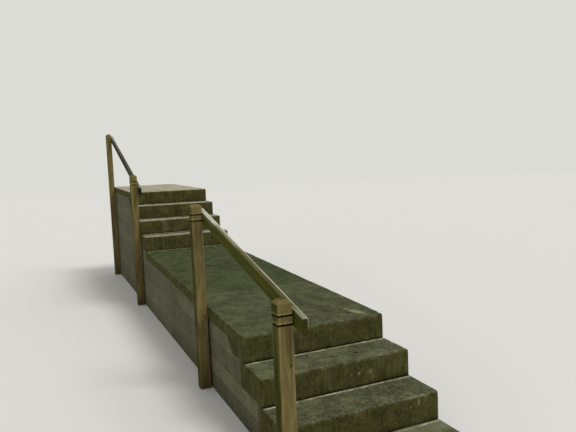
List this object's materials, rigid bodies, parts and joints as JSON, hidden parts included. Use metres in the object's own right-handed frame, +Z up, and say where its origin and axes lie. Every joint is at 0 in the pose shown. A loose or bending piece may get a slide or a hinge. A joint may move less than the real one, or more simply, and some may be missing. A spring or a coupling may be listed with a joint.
{
  "type": "outdoor steps with timber handrails",
  "caption": "Two flights of cast concrete garden steps joined by a long sloping landing, with timber handrails on posts at one side.",
  "frame": {"origin": "middle of the footprint, on the level floor that the walls and posts stand on", "axes": "+Z up, +Y up the run of the steps, +X to the right for someone walking up"},
  "size_m": [1.229, 8.5, 2.572],
  "materials": {
    "concrete": "weathered cast concrete with a fine sandy face",
    "wall_concrete": "rough cast concrete",
    "post_wood": "weathered softwood",
    "rail_wood": "weathered softwood with worn pale arrises"
  },
  "bodies": {
    "root": {"foot_slab": "concrete", "lower_step_1": "concrete", "lower_step_2": "concrete", "landing_slab_1": "concrete", "landing_slab_2": "concrete", "landing_slab_3": "concrete", "upper_step_1": "concrete", "upper_step_2": "concrete", "upper_step_3": "concrete", "top_slab_1": "concrete", "top_slab_2": "concrete", "lower_left_wall": "wall_concrete", "lower_right_wall": "wall_concrete", "landing_front_wall": "wall_concrete", "landing_left_wall": "wall_concrete", "landing_right_wall": "wall_concrete", "landing_cross_wall_1": "wall_concrete", "landing_cross_wall_2": "wall_concrete", "landing_back_wall": "wall_concrete", "upper_left_wall": "wall_concrete", "upper_right_wall": "wall_concrete", "top_front_wall": "wall_concrete", "top_left_wall": "wall_concrete", "top_right_wall": "wall_concrete", "top_end_wall": "wall_concrete", "lower_rail_low_post": "post_wood", "lower_rail_high_post": "post_wood", "upper_rail_low_post": "post_wood", "upper_rail_high_post": "post_wood", "lower_rail": "rail_wood", "upper_rail": "rail_wood"}
  },
  "joints": []
}
